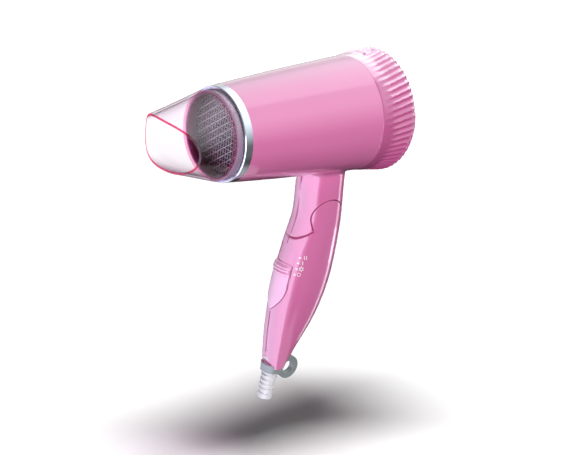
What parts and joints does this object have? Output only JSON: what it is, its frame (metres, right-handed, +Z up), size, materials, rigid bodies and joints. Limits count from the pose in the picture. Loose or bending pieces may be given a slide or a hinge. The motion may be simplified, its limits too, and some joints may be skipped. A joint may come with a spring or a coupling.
{
  "type": "hair dryer",
  "caption": "Folding hair dryer: tapered pink barrel with a clear flattened nozzle, ribbed rear cover, slide switch on the grip, hanging loop and ribbed cord guard.",
  "frame": {"origin": "middle of the grip, where the hand holds it", "axes": "+Z up, barrel along X with the air outlet towards -X, Y across with the two shell halves meeting at y = 0"},
  "size_m": [0.1915, 0.0894, 0.2612],
  "materials": {
    "shell_pink": "gloss",
    "cover_pink": "gloss, ribbed",
    "slider_pink": "satin",
    "silver_trim": "polished",
    "clear_plastic": "clear",
    "dark_grille": "matte",
    "dark_mesh": "fine mesh",
    "black_plastic": "matte",
    "grey_plastic": "satin",
    "grey_rubber": "matte",
    "mica": "flecked",
    "heater_wire": "drawn wire",
    "steel": "plated",
    "brass": "plated",
    "circuit_board": "satin",
    "wire_sleeve": "matte"
  },
  "bodies": {
    "grip": {"grip_left": "shell_pink", "grip_right": "shell_pink", "grip_screws": "steel", "hinge_pin": "steel", "hinge_washers": "steel", "hanging_loop": "grey_plastic", "cord_guard": "grey_rubber", "cord_clamp": "black_plastic", "clamp_screw": "steel", "switch_body": "black_plastic", "switch_terminals": "brass", "grip_leads": "wire_sleeve"},
    "head": {"housing_left": "shell_pink", "housing_right": "shell_pink", "housing_screws": "steel", "rear_cover": "cover_pink", "rear_grille": "cover_pink", "intake_filter": "dark_mesh", "front_trim_ring": "silver_trim", "front_grille": "dark_grille", "mica_sleeve": "mica", "mica_board_upright": "mica", "mica_board_flat": "mica", "heater_coils": "heater_wire", "thermostat": "steel", "thermal_fuse": "steel", "motor_can": "steel", "motor_end_cap": "black_plastic", "rectifier_board": "circuit_board", "motor_duct": "black_plastic", "head_leads": "wire_sleeve"},
    "rotor": {"fan_impeller": "black_plastic", "motor_shaft": "steel", "motor_armature": "steel"},
    "nozzle_collar": {"nozzle_collar": "clear_plastic"},
    "nozzle": {"nozzle": "clear_plastic"},
    "switch_slider": {"switch_slider": "slider_pink", "switch_carriage": "black_plastic"}
  },
  "joints": [
    {"name": "fold_hinge", "type": "hinge", "parent": "grip", "child": "head", "pos_m": [0.023, 0, 0.0485], "axis": [0, 1, 0], "range_deg": [0, 100]},
    {"name": "fan_spin", "type": "hinge", "parent": "head", "child": "rotor", "pos_m": [0.02, 0, 0.12], "axis": [1, 0, 0], "continuous": true},
    {"name": "nozzle_pull", "type": "slide", "parent": "head", "child": "nozzle_collar", "axis": [-1, 0, 0], "range_m": [0, 0.03]},
    {"name": "nozzle_turn", "type": "hinge", "parent": "nozzle_collar", "child": "nozzle", "pos_m": [-0.09, 0, 0.12], "axis": [1, 0, 0], "continuous": true},
    {"name": "switch_slide", "type": "slide", "parent": "grip", "child": "switch_slider", "axis": [0.1908, 0, 0.9816], "range_m": [0, 0.0129]}
  ]
}
